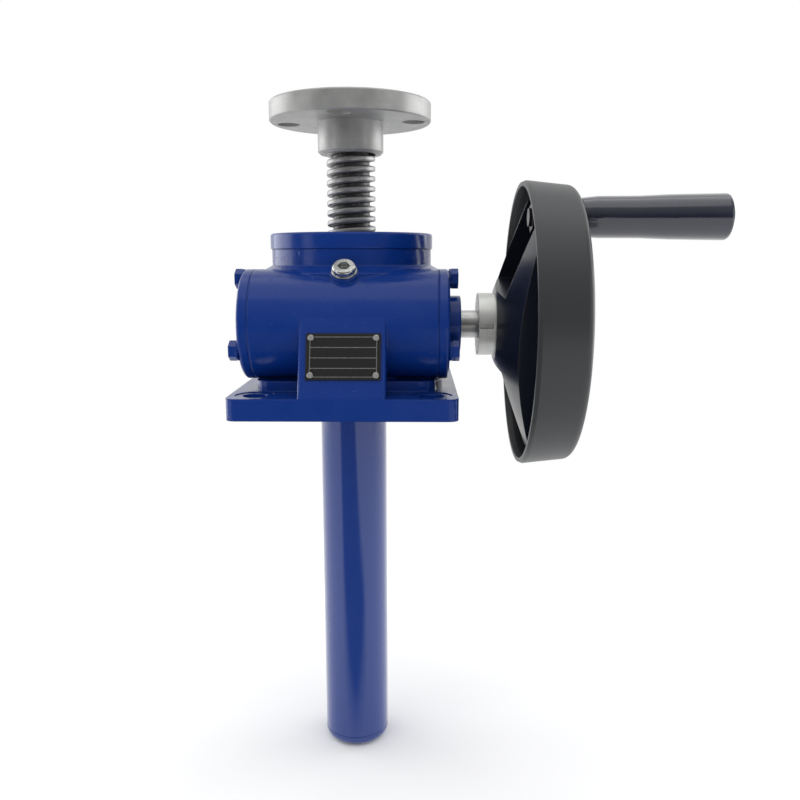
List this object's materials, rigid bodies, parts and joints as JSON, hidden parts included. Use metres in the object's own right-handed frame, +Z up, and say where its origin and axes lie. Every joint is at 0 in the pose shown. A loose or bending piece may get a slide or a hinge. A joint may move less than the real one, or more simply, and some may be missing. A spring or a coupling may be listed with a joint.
{
  "type": "worm screw jack",
  "caption": "Worm gear screw jack: painted housing on a bolt-down base, trapezoidal lifting screw with a round top flange, closed protective tube and dished crank handwheel.",
  "frame": {"origin": "centre of the base plate's mounting face, on the axis of the lifting screw", "axes": "+X along the worm shaft towards the handwheel, +Y to the back of the housing, +Z up the lifting screw"},
  "size_m": [0.276, 0.2065, 0.4163],
  "materials": {
    "paint": "glossy blue enamel on rough castings",
    "steel": "turned steel, lightly oiled",
    "fasteners": "dark zinc plated fasteners",
    "bronze": "cast bronze",
    "wheel": "black glass-filled plastic",
    "handle": "polished near-black plastic",
    "seal": "oil-proof rubber",
    "plate": "black enamelled blank plate"
  },
  "bodies": {
    "housing": {"gear_housing": "paint", "housing_cap": "paint", "screw_wiper": "seal", "guide_bush": "bronze", "protective_tube": "paint", "tube_end_cap": "paint", "left_cover": "paint", "right_cover": "paint", "left_gasket": "paint", "right_gasket": "paint", "left_cover_bolts": "paint", "right_cover_bolts": "paint", "shaft_seal": "seal", "oil_plug": "fasteners", "plug_washer": "fasteners", "nameplate": "plate", "nameplate_rivets": "steel", "worm_bearing_outer_rings": "steel", "worm_bearing_balls": "steel", "thrust_housing_washers": "steel", "thrust_balls": "steel"},
    "screw": {"lead_screw": "steel", "stop_collar": "fasteners", "stop_collar_pin": "steel", "top_flange": "steel", "flange_grub_screw": "fasteners"},
    "nut": {"worm_wheel_nut": "bronze", "thrust_shaft_washers": "steel"},
    "worm": {"worm_shaft": "steel", "worm_bearing_inner_rings": "steel", "hub_sleeve": "steel", "hub_key": "fasteners", "hub_grub_screw": "fasteners", "handwheel": "wheel", "wheel_washer": "steel", "wheel_screw": "fasteners", "handle_spindle": "steel", "handle_washer": "fasteners", "handle_nut": "fasteners"},
    "grip": {"handle_grip": "handle"}
  },
  "joints": [
    {"name": "worm_turn", "type": "hinge", "parent": "housing", "child": "worm", "pos_m": [0, -0.0395, 0.049], "axis": [1, 0, 0], "range_deg": [-61920, 226080]},
    {"name": "nut_turn", "type": "hinge", "parent": "housing", "child": "nut", "pos_m": [0, 0, 0.049], "axis": [0, 0, 1], "range_deg": [-9430, 2590]},
    {"name": "screw_lift", "type": "slide", "parent": "housing", "child": "screw", "axis": [0, 0, 1], "range_m": [-0.0432, 0.1572]},
    {"name": "handle_spin", "type": "hinge", "parent": "worm", "child": "grip", "pos_m": [0.173, -0.05502, 0.10902], "axis": [1, 0, 0], "continuous": true}
  ],
  "couplings": [
    {"joint": "nut_turn", "follows": "worm_turn", "ratio": -0.041667},
    {"joint": "screw_lift", "follows": "worm_turn", "m_per_rad": 0.000039789}
  ]
}
